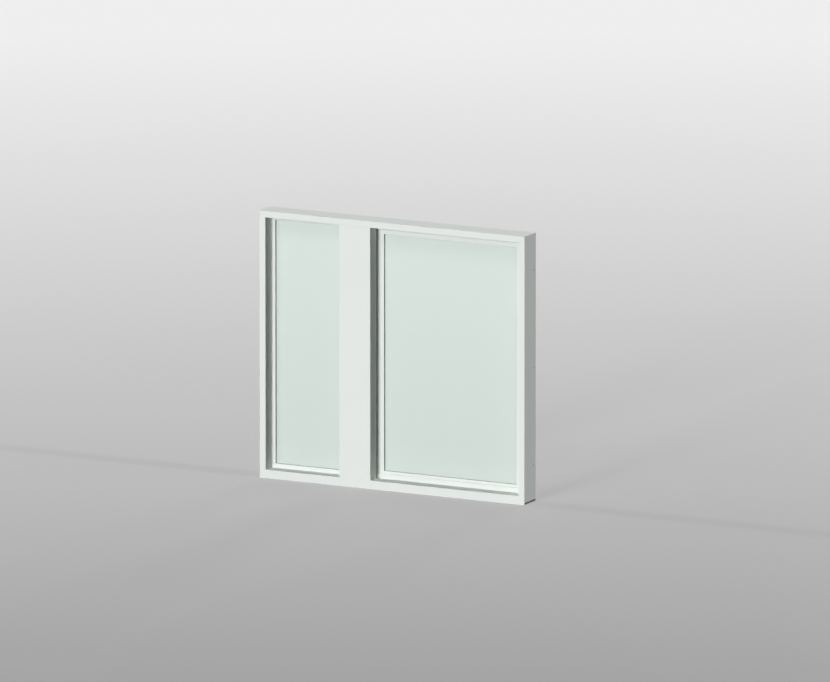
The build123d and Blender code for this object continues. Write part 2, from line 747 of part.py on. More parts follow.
def make_stiles():
    """The meeting stile with its interlock tongue, and the lock stile with the latch's holes."""
    height = sash_top - sash_bottom
    with BuildPart() as sash_stile_meeting:
        with BuildSketch(left_plane(sash_left, sash_top)):
            stile_section(meeting_stile_width)
        extrude(amount=height)
        with BuildSketch(left_plane(sash_left, rear_top - tongue_end_gap)):
            rect(tongue_front, sash_front + sash_wall, 0, tongue_wall)
            rect(tongue_front, tongue_front + tongue_wall, 0, tongue_reach)
        extrude(amount=rear_top - rear_bottom - 2 * tongue_end_gap)
        notch_for_track(sash_left, meeting_stile_width)
        screw_holes(sash_left, screw_head_radius + notch_gap, 1)
        screw_holes(rail_left - pocket_depth, screw_radius + fit, -1)
    save(sash_stile_meeting, "sash_stile_meeting")
    with BuildPart() as sash_stile_lock:
        with BuildSketch(right_plane(sash_right, sash_bottom)):
            stile_section(lock_stile_width)
        extrude(amount=height)
        notch_for_track(rail_right, lock_stile_width)
        screw_holes(sash_right, screw_head_radius + notch_gap, -1)
        screw_holes(rail_right + pocket_depth, screw_radius + fit, 1)
        with BuildSketch(side_plane(sash_right, latch_height)):
            with Locations((0, (hook_slot_top - hook_slot_drop) / 2)):
                Rectangle(hook_plate + 2 * hook_side_gap, hook_slot_top + hook_slot_drop)
        extrude(amount=-sash_wall, mode=Mode.SUBTRACT)
        with BuildSketch(front_plane(latch_x, sash_back, 0)):
            with Locations((0, latch_height)):
                Circle(spindle_bore)
            with Locations(*[(0, z) for z in latch_screw_heights + handle_screw_heights]):
                Circle(screw_radius + fit)
        extrude(amount=sash_wall, mode=Mode.SUBTRACT)
    save(sash_stile_lock, "sash_stile_lock")


def make_rails():
    """The bottom and top rails, cut square between the stiles."""
    for name, plane in (("sash_rail_bottom", sill_plane(rail_left, sash_bottom)),
                        ("sash_rail_top", head_plane(rail_right, sash_top))):
        with BuildPart() as rail:
            with BuildSketch(plane):
                rail_section()
            extrude(amount=rail_length)
            if name == "sash_rail_bottom":
                with BuildSketch(front_plane(0, sash_back, rivet_height)):
                    with Locations(*[(x, 0) for x in rivet_places]):
                        Circle(rivet_radius + fit)
                extrude(amount=sash_wall, mode=Mode.SUBTRACT)
        save(rail, name)


def make_sash_glazing():
    """The sash's glass, and the one-piece channel gasket that wraps its edge."""
    middle_x = (rail_left + rail_right) / 2
    middle_z = (sash_bottom + sash_top) / 2
    light_width = rail_length
    light_height = sash_top - sash_bottom - 2 * sash_rail_height
    glass_bite = pocket_depth - sash_gasket_floor
    glass_face = sash_centre - sash_glass_thickness / 2
    with BuildPart() as sash_glass:
        with BuildSketch(front_plane(middle_x, glass_face, middle_z)):
            Rectangle(light_width + 2 * glass_bite, light_height + 2 * glass_bite)
        extrude(amount=-sash_glass_thickness)
    save(sash_glass, "sash_glass")
    with BuildPart() as sash_gasket:
        with BuildSketch(front_plane(middle_x, glass_face - sash_gasket_leg, middle_z)):
            Rectangle(light_width + 2 * pocket_depth, light_height + 2 * pocket_depth)
            Rectangle(light_width, light_height, mode=Mode.SUBTRACT)
        extrude(amount=-(sash_glass_thickness + 2 * sash_gasket_leg))
        with BuildSketch(front_plane(middle_x, glass_face, middle_z)):
            Rectangle(light_width + 2 * glass_bite, light_height + 2 * glass_bite)
        extrude(amount=-sash_glass_thickness, mode=Mode.SUBTRACT)
    save(sash_gasket, "sash_gasket")


def make_sash_screws():
    """The screws that draw the stiles onto the rails' screw ports."""
    inset = pocket_depth + sash_wall
    centre_y = at_depth(sash_centre)
    with BuildPart() as sash_corner_screws:
        for z in (sash_bottom + port_rise, sash_top - port_rise):
            screw(Plane(origin=(rail_left - inset, centre_y, z), z_dir=(-1, 0, 0)), inset + screw_bite)
            screw(Plane(origin=(rail_right + inset, centre_y, z), z_dir=(1, 0, 0)), inset + screw_bite)
    save(sash_corner_screws, "sash_corner_screws")


def make_guides():
    """The plastic guides in the stiles' ends, each slotted for the track cap or the head's rib."""
    depth = sash_thickness - 2 * (sash_wall + fit)
    ends = (("sash_guides_bottom", sash_bottom, 1, track_top + notch_gap - sash_bottom, cap_half_width),
            ("sash_guides_top", sash_top, -1, guide_engagement + notch_gap, rib_width / 2))
    for name, z, direction, slot_height, half in ends:
        with BuildPart() as guides:
            for x, width in ((sash_left + sash_wall + fit, meeting_stile_width),
                             (rail_right + pocket_depth + sash_wall + fit, lock_stile_width)):
                length = width - pocket_depth - 2 * (sash_wall + fit)
                middle = (x + length / 2, at_depth(sash_centre))
                with BuildSketch(Plane.XY.offset(z)):
                    with Locations(middle):
                        Rectangle(length, depth)
                extrude(amount=direction * guide_height)
                with BuildSketch(Plane.XY.offset(z)):
                    with Locations(middle):
                        Rectangle(length, 2 * half + guide_slot_gap)
                extrude(amount=direction * slot_height, mode=Mode.SUBTRACT)
        save(guides, name)


def make_rollers():
    """The two roller carriages in the bottom rail, their axles and wheels, and the rivets."""
    top = sash_bottom + rail_channel_depth - fit
    width = sash_thickness - 2 * (sash_wall + fit)
    bottom = top - carriage_height
    slot_length = 2 * wheel_radius + 2 * wheel_play
    slot_top = wheel_height + wheel_radius + wheel_play
    for side, x in zip(("left", "right"), roller_places):
        with BuildPart() as carriage:
            with BuildSketch(Plane.XY.offset(top)):
                with Locations((x, at_depth(sash_centre))):
                    Rectangle(carriage_length, width)
            extrude(amount=-carriage_height)
            with BuildSketch(Plane.XY.offset(bottom)):
                with Locations((x, at_depth(sash_centre))):
                    Rectangle(slot_length, wheel_width + 2 * running)
            extrude(amount=slot_top - bottom, mode=Mode.SUBTRACT)
            with BuildSketch(front_plane(x, sash_front, wheel_height)):
                Circle(axle_radius + axle_fit)
            extrude(amount=-sash_thickness, mode=Mode.SUBTRACT)
            with BuildSketch(front_plane(x, sash_centre, rivet_height)):
                with Locations((-rivet_spacing / 2, 0), (rivet_spacing / 2, 0)):
                    Circle(rivet_radius + axle_fit)
            extrude(amount=-sash_thickness, mode=Mode.SUBTRACT)
        save(carriage, f"roller_carriage_{side}")
        with BuildPart() as axle:
            with BuildSketch(front_plane(x, sash_centre - width / 2, wheel_height)):
                Circle(axle_radius)
            extrude(amount=-width)
        save(axle, f"roller_axle_{side}")
        with BuildPart() as wheel:
            with BuildSketch(Plane(origin=(x, at_depth(sash_centre), wheel_height), x_dir=(1, 0, 0),
                                   z_dir=(0, 0, 1))):
                with Locations((wheel_radius / 2, 0)):
                    Rectangle(wheel_radius, wheel_width)
                with Locations((axle_radius / 2, 0)):
                    Rectangle(axle_radius + 2 * wheel_fit, wheel_width, mode=Mode.SUBTRACT)
                with Locations((wheel_tread_radius + wheel_groove, 0)):
                    Circle(wheel_groove, mode=Mode.SUBTRACT)
            revolve(axis=Axis((x, at_depth(sash_centre), wheel_height), (0, 1, 0)))
        save(wheel, f"roller_wheel_{side}")
    with BuildPart() as carriage_rivets:
        for x in rivet_places:
            with BuildSketch(front_plane(x, sash_back, rivet_height)):
                Circle(rivet_head)
            extrude(amount=-rivet_head_height)
            with BuildSketch(front_plane(x, sash_back, rivet_height)):
                Circle(rivet_radius)
            extrude(amount=sash_wall + rivet_bite)
    save(carriage_rivets, "carriage_rivets")


def make_latch():
    """The hook latch in the lock stile: hook, spindle, case plate, lever and the plate's screws."""
    hook_front = sash_centre - hook_plate / 2
    with BuildPart() as latch_hook:
        with BuildSketch(Plane(origin=(latch_x, at_depth(hook_front), latch_height), x_dir=(0, 0, -1),
                               z_dir=(0, -1, 0))):
            Circle(hub_radius)
            with Locations((hook_length / 2, hook_arm_offset)):
                Rectangle(hook_length, hook_arm)
            with Locations((hook_length - claw_thickness / 2, hook_arm_offset + hook_claw / 2)):
                Rectangle(claw_thickness, hook_arm + hook_claw)
            Rectangle(spindle_side + fit, spindle_side + fit, mode=Mode.SUBTRACT)
        extrude(amount=-hook_plate)
    save(latch_hook, "latch_hook")
    lever_back = sash_back + latch_plate_thickness + running
    with BuildPart() as latch_spindle:
        with BuildSketch(front_plane(latch_x, hook_front, latch_height)):
            Rectangle(spindle_side, spindle_side)
        extrude(amount=-(lever_back + lever_bore_depth - hook_front))
    save(latch_spindle, "latch_spindle")
    with BuildPart() as latch_plate:
        with BuildSketch(front_plane(latch_x, sash_back, latch_height)):
            RectangleRounded(latch_plate_width, latch_plate_height, latch_plate_round)
            Circle(spindle_bore, mode=Mode.SUBTRACT)
            with Locations(*[(0, z - latch_height) for z in latch_screw_heights]):
                Circle(screw_radius + fit, mode=Mode.SUBTRACT)
        extrude(amount=-latch_plate_thickness)
        fillet(latch_plate.edges().group_by(Axis.Y)[-1].filter_by(Axis.Z), edge_round)
    save(latch_plate, "latch_plate")
    with BuildPart() as latch_lever:
        with BuildSketch(front_plane(latch_x, lever_back, latch_height)):
            with BuildLine():
                tip_left = (-lever_tip_radius, lever_length - lever_tip_radius)
                tip_right = (lever_tip_radius, lever_length - lever_tip_radius)
                Line((-hub_radius, 0), tip_left)
                ThreePointArc(tip_left, (0, lever_length), tip_right)
                Line(tip_right, (hub_radius, 0))
                Line((hub_radius, 0), (-hub_radius, 0))
            make_face()
            Circle(hub_radius)
        extrude(amount=-lever_thickness)
        fillet(latch_lever.edges().group_by(Axis.Y)[-1], lever_round)
        with BuildSketch(front_plane(latch_x, lever_back, latch_height)):
            Rectangle(spindle_side + fit, spindle_side + fit)
        extrude(amount=-(lever_bore_depth + fit), mode=Mode.SUBTRACT)
    save(latch_lever, "latch_lever")
    with BuildPart() as latch_screws:
        for z in latch_screw_heights:
            screw(Plane(origin=(latch_x, at_depth(sash_back + latch_plate_thickness), z), z_dir=(0, 1, 0)),
                  latch_plate_thickness + sash_wall + rivet_bite)
    save(latch_screws, "latch_screws")


def make_pull_handle():
    """The pull on the lock stile's room face: a bowed bar on two screwed feet."""
    half = handle_height / 2
    with BuildPart() as pull_handle:
        with BuildSketch(Plane(origin=(latch_x - handle_width / 2, at_depth(sash_back), handle_centre),
                               x_dir=(0, 1, 0), z_dir=(1, 0, 0))) as handle_sketch:
            with Locations((handle_projection / 2, 0)):
                Rectangle(handle_projection, handle_height)
            fillet(handle_sketch.vertices().group_by(Axis.X)[-1], handle_bend)
            with Locations(((handle_projection - handle_bar) / 2, 0)):
                Rectangle(handle_projection - handle_bar, handle_height - 2 * handle_bar, mode=Mode.SUBTRACT)
            inner_corners = handle_sketch.vertices().filter_by_position(
                Axis.X, handle_projection - handle_bar - fit, handle_projection - handle_bar + fit)
            fillet(inner_corners, max(handle_bend - handle_bar, edge_round))
            with Locations((handle_foot / 2, half + handle_tab / 2),
                           (handle_foot / 2, -half - handle_tab / 2)):
                Rectangle(handle_foot, handle_tab)
        extrude(amount=handle_width)
        sides = pull_handle.faces().filter_by(Axis.X).edges()
        rims = sides.filter_by(lambda edge: edge.center().Y > at_depth(sash_back) + fit)
        fillet(rims, handle_round)
        with BuildSketch(front_plane(latch_x, sash_back, 0)):
            with Locations(*[(0, z) for z in handle_screw_heights]):
                Circle(screw_radius + fit)
        extrude(amount=-handle_foot, mode=Mode.SUBTRACT)
    save(pull_handle, "pull_handle")
    with BuildPart() as handle_screws:
        for z in handle_screw_heights:
            screw(Plane(origin=(latch_x, at_depth(sash_back + handle_foot), z), z_dir=(0, 1, 0)),
                  handle_foot + sash_wall + rivet_bite)
    save(handle_screws, "handle_screws")


os.makedirs("parts", exist_ok=True)
make_sill()
make_head()
make_jamb("frame_jamb_left", left_plane(left_edge, frame_height), (mitre_bottom_left, mitre_top_left),
          left_edge, ())
make_jamb("frame_jamb_right", right_plane(right_edge, 0), (mitre_bottom_right, mitre_top_right),
          right_edge, keeper_screw_heights)
make_mullion()
make_mullion_cleats()
make_corner_cleats()
make_fixed_glazing()
make_infill()
make_track()
make_brushes()
make_stops()
make_keeper()
make_stiles()
make_rails()
make_sash_glazing()
make_sash_screws()
make_guides()
make_rollers()
make_latch()
make_pull_handle()
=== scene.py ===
import bmesh
import bpy
import json
from math import cos, pi, radians, sin
from mathutils import Matrix, Vector
from random import Random


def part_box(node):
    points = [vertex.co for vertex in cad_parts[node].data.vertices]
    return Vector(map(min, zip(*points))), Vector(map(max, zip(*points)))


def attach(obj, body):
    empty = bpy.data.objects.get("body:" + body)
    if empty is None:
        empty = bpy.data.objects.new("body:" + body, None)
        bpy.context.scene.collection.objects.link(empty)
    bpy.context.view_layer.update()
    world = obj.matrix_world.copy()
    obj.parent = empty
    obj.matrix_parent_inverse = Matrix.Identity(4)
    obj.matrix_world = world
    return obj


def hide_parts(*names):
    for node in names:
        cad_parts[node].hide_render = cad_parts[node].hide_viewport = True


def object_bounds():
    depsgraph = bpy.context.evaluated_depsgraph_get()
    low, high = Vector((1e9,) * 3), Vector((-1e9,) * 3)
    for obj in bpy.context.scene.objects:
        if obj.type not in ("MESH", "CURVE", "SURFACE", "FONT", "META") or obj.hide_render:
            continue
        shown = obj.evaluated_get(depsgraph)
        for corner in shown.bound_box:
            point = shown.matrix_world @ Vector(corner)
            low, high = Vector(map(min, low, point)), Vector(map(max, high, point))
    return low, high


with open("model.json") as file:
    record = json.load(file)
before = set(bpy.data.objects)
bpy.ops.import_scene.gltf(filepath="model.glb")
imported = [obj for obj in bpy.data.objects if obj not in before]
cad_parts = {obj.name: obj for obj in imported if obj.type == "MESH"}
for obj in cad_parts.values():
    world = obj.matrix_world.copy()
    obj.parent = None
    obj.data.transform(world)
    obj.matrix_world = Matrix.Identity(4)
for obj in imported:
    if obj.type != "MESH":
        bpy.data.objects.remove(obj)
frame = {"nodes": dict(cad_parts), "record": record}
cad_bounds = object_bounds()

# The photograph's view: an almost parallel projection, so the camera stands far off with a long lens
VIEW_AZIMUTH = radians(27.27)
VIEW_ELEVATION = radians(11.44)
PHOTO_WIDTH = 830
PIXELS_PER_METRE = 248.5
LENS_MM = 1000.0
SENSOR_MM = 36.0
CLIP_NEAR = 1.0
# The point of the window that lies in the middle of the picture, on the plane of the frame's front face
PICTURE_CENTRE = Vector((0.1057, -0.050, 0.6283))

# Colours, as linear values
COAT_WHITE = (0.768, 0.807, 0.776)
# The glass's colour at its foot, and a lighter one at its top: painted light that evens out the shade the
# head casts on the upper glass
GLASS_LOW = (0.653, 0.740, 0.694)
GLASS_TOP_PAINTED_LIGHTER = (0.722, 0.812, 0.764)
GLASS_VEIL = 0.74
MITRE_SHADE = 0.35
RUBBER_BLACK = (0.022, 0.022, 0.023)
PILE_GREY = (0.20, 0.20, 0.205)
PLASTIC_GREY = (0.13, 0.13, 0.135)
ACETAL_WHITE = (0.70, 0.69, 0.66)
ZINC_GREY = (0.56, 0.56, 0.57)
MILL_GREY = (0.60, 0.61, 0.62)
FLOOR_PAINT = 0.20
# How strongly the two smooth surfaces reflect
COAT_SPECULAR = 0.25
GLASS_SPECULAR = 0.35
# The part of a noise's range over which a colour drifts from its dark to its light side
DRIFT_RANGE = (0.3, 0.7)
# What the camera sees of the floor: its glow at three distances from a point in front of the window
FLOOR_GLOW = ((4.2, 0.222), (11.1, 0.446), (18.0, 0.720))
GLOW_DISTANCE = 8.0
SKY_SHOWN = 0.86
FLOOR_SIZE = 160.0

# The frame's members whose faces show the mitres, and half the width of the line there, in metres
MITRED_NODES = ("frame_sill", "frame_head", "frame_jamb_left", "frame_jamb_right")
MITRE_LINE = 0.00016

# Screws, in metres; the rim is a share of the head's height, and the tip a share of the shank's radius
SCREW_HEAD_HEIGHT = 0.0024
SCREW_HEAD_RIM = 0.28
SCREW_DOME_POWER = 0.5
SCREW_SHANK_RADIUS = 0.0020
SCREW_TIP = 0.6
HEAD_STEPS = 10
TURN_STEPS = 48
SMOOTH_ANGLE = radians(35.0)
# The cross recess: its cutter starts above the head, at a multiple of the head's height, and tapers
CROSS_REACH = 0.0021
CROSS_HALF_WIDTH = 0.00045
CROSS_DEPTH = 0.0015
CROSS_TAPER = 0.45
CROSS_RISE = 1.2
# Each pair of screws: its node, its body, the way the heads face, and the turns of the two recesses
SCREW_PAIRS = (
    ("handle_screws", "sash", Vector((0, 1, 0)), (radians(20.0), radians(65.0))),
    ("latch_screws", "sash", Vector((0, 1, 0)), (radians(50.0), radians(10.0))),
    ("keeper_screws", "frame", Vector((-1, 0, 0)), (radians(35.0), radians(80.0))),
)

# Brush tufts, in metres; the fill is a share of the pitch, and the tip a share of the foot
BRUSH_NODES = ("brush_sill", "brush_head", "brush_jamb", "brush_mullion")
TUFT_PITCH = 0.0009
TUFT_FILL = 0.85
TUFT_TIP = 0.6
TUFT_LEAN = 0.0002
TUFT_SHORT = 0.0004
TUFT_SEED = 7

# Points nearer than this are one point: of a CAD mesh, and of a turned mesh at its axis
SAME_PLACE = 0.00001
SAME_POINT = 0.000001

# Lamps: the way to each lamp, its level on a surface that faces it, how wide it looks, and whether it
# shows as glare; those without would whiten the top faces that they graze in a low view
SKY_LEVEL = 0.04
LAMPS = (
    ("front", Vector((-0.05, -0.98, 0.19)), 0.80, radians(14.0), True),
    ("above", Vector((-0.06, -0.64, 0.77)), 0.16, radians(24.0), True),
    ("behind", Vector((-0.03, 0.985, 0.13)), 0.76, radians(14.0), False),
    ("left", Vector((-0.90, 0.0, 0.43)), 0.30, radians(3.0), False),
    ("right", Vector((0.90, 0.0, 0.43)), 0.36, radians(3.0), False),
)


def add_camera():
    """A camera far out on the photograph's line of sight, with a long lens."""
    towards_camera = Vector((
        sin(VIEW_AZIMUTH) * cos(VIEW_ELEVATION),
        -cos(VIEW_AZIMUTH) * cos(VIEW_ELEVATION),
        sin(VIEW_ELEVATION),
    ))
    width_at_window = PHOTO_WIDTH / PIXELS_PER_METRE
    distance = width_at_window * LENS_MM / SENSOR_MM
    data = bpy.data.cameras.new("camera")
    data.type = "PERSP"
    data.lens = LENS_MM
    data.sensor_width = SENSOR_MM
    data.clip_start = CLIP_NEAR
    data.clip_end = 2.0 * distance
    camera = bpy.data.objects.new("camera", data)
    camera.location = PICTURE_CENTRE + towards_camera * distance
    camera.rotation_euler = towards_camera.to_track_quat("Z", "Y").to_euler()
    bpy.context.scene.collection.objects.link(camera)
    bpy.context.scene.camera = camera


def add_sun(name, direction, level, spread, glares):
    """A distant soft lamp that shines from the given direction."""
    data = bpy.data.lights.new(name, "SUN")
    data.energy = level * pi
    data.angle = spread
    lamp = bpy.data.objects.new(name, data)
    lamp.rotation_euler = direction.to_track_quat("Z", "Y").to_euler()
    lamp.visible_glossy = glares
    bpy.context.scene.collection.objects.link(lamp)


def opaque(color):
    """A colour with full alpha, as a socket takes it."""
    return (*color, 1.0)


def math_node(tree, operation, first, second=None):
    """The result of one Math node on sockets or plain numbers."""
    node = tree.nodes.new("ShaderNodeMath")
    node.operation = operation
    for socket, value in zip(node.inputs, (first, second)):
        if isinstance(value, bpy.types.NodeSocket):
            tree.links.new(value, socket)
        elif value is not None:
            socket.default_value = value
    return node.outputs["Value"]


def gap_node(tree, first, second):
    """How far apart two values lie."""
    return math_node(tree, "ABSOLUTE", math_node(tree, "SUBTRACT", first, second))


def seen_by_camera(tree):
    """One where the camera sees a surface directly, in a mirror or through glass, and nought elsewhere."""
    rays = tree.nodes.new("ShaderNodeLightPath").outputs
    direct_or_mirrored = math_node(tree, "MAXIMUM", rays["Is Camera Ray"], rays["Is Glossy Ray"])
    return math_node(tree, "MAXIMUM", direct_or_mirrored, rays["Is Transmission Ray"])


def set_world():
    """An even sky that lights at the sky level and shows as the far end of the floor."""
    world = bpy.data.worlds.new("studio")
    world.use_nodes = True
    tree = world.node_tree
    sky = tree.nodes["Background"]
    sky.inputs["Strength"].default_value = SKY_LEVEL
    shown = tree.nodes.new("ShaderNodeBackground")
    shown.inputs["Strength"].default_value = SKY_SHOWN
    mix = tree.nodes.new("ShaderNodeMixShader")
    tree.links.new(seen_by_camera(tree), mix.inputs["Fac"])
    tree.links.new(sky.outputs["Background"], mix.inputs[1])
    tree.links.new(shown.outputs["Background"], mix.inputs[2])
    tree.links.new(mix.outputs["Shader"], tree.nodes["World Output"].inputs["Surface"])
    for node in (sky, shown):
        node.inputs["Color"].default_value = opaque((1.0, 1.0, 1.0))
    bpy.context.scene.world = world


def new_material(name, color, roughness, metallic=0.0):
    """A material with its mean colour and roughness, which nodes may then vary."""
    material = bpy.data.materials.new(name)
    material.use_nodes = True
    shader = material.node_tree.nodes["Principled BSDF"]
    shader.inputs["Base Color"].default_value = opaque(color)
    shader.inputs["Roughness"].default_value = roughness
    shader.inputs["Metallic"].default_value = metallic
    return material, shader


def place_noise(tree, scale, detail=4.0, stretch=None):
    """A noise texture in the window's own coordinates, with its scale in turns per metre."""
    place = tree.nodes.new("ShaderNodeTexCoord")
    noise = tree.nodes.new("ShaderNodeTexNoise")
    noise.inputs["Scale"].default_value = scale
    noise.inputs["Detail"].default_value = detail
    source = place.outputs["Object"]
    if stretch:
        mapping = tree.nodes.new("ShaderNodeMapping")
        mapping.inputs["Scale"].default_value = stretch
        tree.links.new(source, mapping.inputs["Vector"])
        source = mapping.outputs["Vector"]
    tree.links.new(source, noise.inputs["Vector"])
    return noise


def vary_color(material, shader, color, spread, scale, stretch=None):
    """Lets the colour drift a little lighter and darker over the surface."""
    tree = material.node_tree
    noise = place_noise(tree, scale, stretch=stretch)
    ramp = tree.nodes.new("ShaderNodeValToRGB")
    dark, light = ramp.color_ramp.elements
    dark.position, light.position = DRIFT_RANGE
    dark.color = opaque([channel * (1.0 - spread) for channel in color])
    light.color = opaque([min(1.0, channel * (1.0 + spread)) for channel in color])
    tree.links.new(noise.outputs["Fac"], ramp.inputs["Fac"])
    tree.links.new(ramp.outputs["Color"], shader.inputs["Base Color"])


def vary_roughness(material, shader, low, high, scale, stretch=None):
    """Lets the gloss change a little over the surface."""
    tree = material.node_tree
    noise = place_noise(tree, scale, stretch=stretch)
    spread = tree.nodes.new("ShaderNodeMapRange")
    spread.inputs["To Min"].default_value = low
    spread.inputs["To Max"].default_value = high
    tree.links.new(noise.outputs["Fac"], spread.inputs["Value"])
    tree.links.new(spread.outputs["Result"], shader.inputs["Roughness"])


def add_bump(material, shader, scale, height, strength=0.3, stretch=None):
    """Raises a fine grain, with its height in metres."""
    tree = material.node_tree
    noise = place_noise(tree, scale, detail=2.0, stretch=stretch)
    bump = tree.nodes.new("ShaderNodeBump")
    bump.inputs["Strength"].default_value = strength
    bump.inputs["Distance"].default_value = height
    tree.links.new(noise.outputs["Fac"], bump.inputs["Height"])
    tree.links.new(bump.outputs["Normal"], shader.inputs["Normal"])


def split_place(tree):
    """The three coordinates of a point of the window, each on its own."""
    place = tree.nodes.new("ShaderNodeTexCoord")
    parts = tree.nodes.new("ShaderNodeSeparateXYZ")
    tree.links.new(place.outputs["Object"], parts.inputs["Vector"])
    return parts.outputs


def grade_height(tree, low_z, high_z):
    """Nought at one height of the window and one at another."""
    grade = tree.nodes.new("ShaderNodeMapRange")
    grade.inputs["From Min"].default_value = low_z
    grade.inputs["From Max"].default_value = high_z
    tree.links.new(split_place(tree)["Z"], grade.inputs["Value"])
    return grade.outputs["Result"]


def draw_mitres(material, shader):
    """A fine dark line where the frame's members meet at 45 degrees."""
    tree = material.node_tree
    (left, _, bottom), (_, _, top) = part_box("frame_jamb_left")
    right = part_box("frame_jamb_right")[1][0]
    place = split_place(tree)
    beside = gap_node(tree, place["X"], (right + left) / 2)
    above = gap_node(tree, place["Z"], (top + bottom) / 2)
    from_side = math_node(tree, "SUBTRACT", (right - left) / 2, beside)
    from_end = math_node(tree, "SUBTRACT", (top - bottom) / 2, above)
    line = math_node(tree, "LESS_THAN", gap_node(tree, from_side, from_end), MITRE_LINE)
    color_source = shader.inputs["Base Color"].links[0].from_socket
    shade = tree.nodes.new("ShaderNodeMix")
    shade.data_type = "RGBA"
    tree.links.new(line, shade.inputs["Factor"])
    tree.links.new(color_source, shade.inputs["A"])
    shade.inputs["B"].default_value = opaque((MITRE_SHADE,) * 3)
    tree.links.new(shade.outputs["Result"], shader.inputs["Base Color"])


def powder_coat(name):
    """Satin white powder coat: a fine orange-peel grain over a very slight drift in tone."""
    material, shader = new_material(name, COAT_WHITE, roughness=0.50)
    vary_color(material, shader, COAT_WHITE, spread=0.014, scale=3.0)
    vary_roughness(material, shader, low=0.44, high=0.56, scale=90.0)
    add_bump(material, shader, scale=700.0, height=0.00010, strength=0.5)
    shader.inputs["Specular IOR Level"].default_value = COAT_SPECULAR
    return material, shader


def pale_glass():
    """Pale green float glass that veils part of what is behind it and lets the light through; its colour is
    painted lighter towards the top, as painted light against the head's shadow there.
    """
    material, shader = new_material("pale_glass", GLASS_LOW, roughness=0.06)
    tree = material.node_tree
    (_, _, bottom), (_, _, top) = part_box("fixed_glass")
    # Painted light: the colour grows lighter from the glass's foot to its top, against the head's shadow on
    # the upper glass
    ramp = tree.nodes.new("ShaderNodeValToRGB")
    for stop, color in zip(ramp.color_ramp.elements, (GLASS_LOW, GLASS_TOP_PAINTED_LIGHTER)):
        stop.color = opaque(color)
    tree.links.new(grade_height(tree, bottom, top), ramp.inputs["Fac"])
    tree.links.new(ramp.outputs["Color"], shader.inputs["Base Color"])
    vary_roughness(material, shader, low=0.04, high=0.08, scale=2.0)
    shader.inputs["Alpha"].default_value = GLASS_VEIL
    shader.inputs["Specular IOR Level"].default_value = GLASS_SPECULAR
    rays = tree.nodes.new("ShaderNodeLightPath").outputs
    clear = tree.nodes.new("ShaderNodeBsdfTransparent")
    mix = tree.nodes.new("ShaderNodeMixShader")
    shadow_or_diffuse = math_node(tree, "MAXIMUM", rays["Is Shadow Ray"], rays["Is Diffuse Ray"])
    tree.links.new(shadow_or_diffuse, mix.inputs["Fac"])
    tree.links.new(shader.outputs["BSDF"], mix.inputs[1])
    tree.links.new(clear.outputs["BSDF"], mix.inputs[2])
    tree.links.new(mix.outputs["Shader"], tree.nodes["Material Output"].inputs["Surface"])
    return material


def black_rubber():
    """Matt black rubber with a faint bloom."""
    material, shader = new_material("black_rubber", RUBBER_BLACK, roughness=0.75)
    vary_color(material, shader, RUBBER_BLACK, spread=0.25, scale=60.0)
    add_bump(material, shader, scale=1500.0, height=0.00006)
    return material


def brush_pile():
    """Grey pile, whose fibres stand in depth, towards the sash."""
    material, shader = new_material("brush_pile", PILE_GREY, roughness=0.95)
    fibres = (1.0, 0.08, 1.0)
    vary_color(material, shader, PILE_GREY, spread=0.45, scale=2600.0, stretch=fibres)
    add_bump(material, shader, scale=3800.0, height=0.0003, strength=0.8, stretch=fibres)
    return material


def moulded_plastic(name, color):
    """Moulded plastic with a fine spark-eroded grain."""
    material, shader = new_material(name, color, roughness=0.5)
    vary_color(material, shader, color, spread=0.06, scale=40.0)
    vary_roughness(material, shader, low=0.45, high=0.6, scale=200.0)
    add_bump(material, shader, scale=1200.0, height=0.00005)
    return material


def brushed_metal(name, color, low, high):
    """Bare metal with fine lines along X and a slight change in gloss."""
    material, shader = new_material(name, color, roughness=low, metallic=1.0)
    vary_color(material, shader, color, spread=0.08, scale=25.0)
    vary_roughness(material, shader, low, high, scale=60.0, stretch=(1.0, 20.0, 20.0))
    add_bump(material, shader, scale=120.0, height=0.00002, stretch=(1.0, 30.0, 30.0))
    return material


def dress_nodes():
    """Gives each CAD node the material of its slot in the record, and returns the materials by slot."""
    mitred_coat, mitred_shader = powder_coat("mitred_coat")
    draw_mitres(mitred_coat, mitred_shader)
    looks = {
        "white_aluminium": powder_coat("powder_coat")[0],
        "mill_aluminium": brushed_metal("mill_aluminium", MILL_GREY, low=0.35, high=0.5),
        "clear_glass": pale_glass(),
        "black_rubber": black_rubber(),
        "steel": brushed_metal("zinc_steel", ZINC_GREY, low=0.28, high=0.42),
        "grey_pile": brush_pile(),
        "grey_plastic": moulded_plastic("grey_plastic", PLASTIC_GREY),
        "white_plastic": moulded_plastic("white_acetal", ACETAL_WHITE),
    }
    for subpart in frame["record"]["subparts"]:
        node = subpart["node"]
        data = frame["nodes"][node].data
        data.materials.clear()
        data.materials.append(mitred_coat if node in MITRED_NODES else looks[subpart["material_slot"]])
    return looks


def lathe(profile):
    """A closed mesh of revolution about Z from radius and height pairs, from the axis to the axis."""
    mesh = bmesh.new()
    points = [mesh.verts.new((radius, 0.0, height)) for radius, height in profile]
    edges = [mesh.edges.new(pair) for pair in zip(points, points[1:])]
    bmesh.ops.spin(mesh, geom=points + edges, cent=(0, 0, 0), axis=(0, 0, 1), angle=2 * pi, steps=TURN_STEPS,
                   use_duplicate=False)
    bmesh.ops.remove_doubles(mesh, verts=mesh.verts, dist=SAME_POINT)
    bmesh.ops.recalc_face_normals(mesh, faces=mesh.faces)
    return mesh


def as_object(mesh, name):
    """An object of a finished bmesh, in the scene."""
    data = bpy.data.meshes.new(name)
    mesh.to_mesh(data)
    mesh.free()
    made = bpy.data.objects.new(name, data)
    bpy.context.scene.collection.objects.link(made)
    return made


